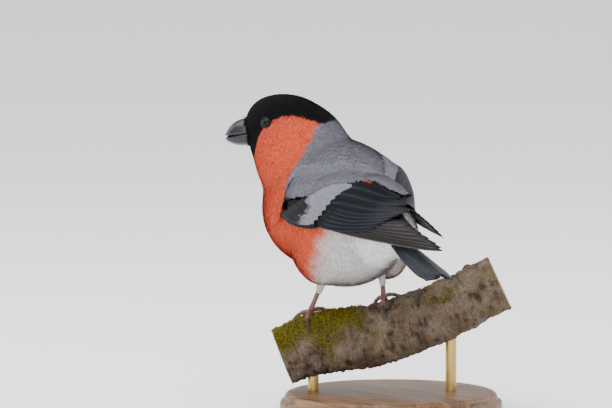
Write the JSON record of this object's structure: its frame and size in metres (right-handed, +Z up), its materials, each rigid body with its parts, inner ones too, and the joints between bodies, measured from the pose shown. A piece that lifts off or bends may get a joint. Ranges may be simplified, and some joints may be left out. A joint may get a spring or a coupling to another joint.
{
  "type": "bullfinch, life-size model on a branch perch",
  "caption": "Life-size male bullfinch gripping a cut length of branch, head turned to its left, on a round base with two rods.",
  "frame": {"origin": "centre of the round base's underside, on the surface the stand rests on", "axes": "+Z up, the bird's body faces -X, its left side is -Y"},
  "size_m": [0.1461, 0.1, 0.1395],
  "materials": {
    "cap": "satin",
    "breast": "matte",
    "grey": "matte",
    "wing": "satin",
    "tail": "satin",
    "bill": "satin",
    "eye": "polished",
    "leg": "satin",
    "claw": "satin",
    "bark": "rough",
    "base": "satin",
    "rod": "satin"
  },
  "bodies": {
    "root": {"head": "cap", "neck": "breast", "torso": "grey", "bill_upper": "bill", "bill_lower": "bill", "eye_left": "eye", "eye_right": "eye", "wing_left": "wing", "wing_right": "wing", "tail": "tail", "thigh_left": "grey", "tarsus_left": "leg", "foot_left": "leg", "claw_left_0": "claw", "claw_left_1": "claw", "claw_left_2": "claw", "claw_left_3": "claw", "thigh_right": "grey", "tarsus_right": "leg", "foot_right": "leg", "claw_right_0": "claw", "claw_right_1": "claw", "claw_right_2": "claw", "claw_right_3": "claw", "perch": "bark", "stand_base": "base", "stand_rod_low": "rod", "stand_rod_high": "rod"}
  },
  "joints": []
}
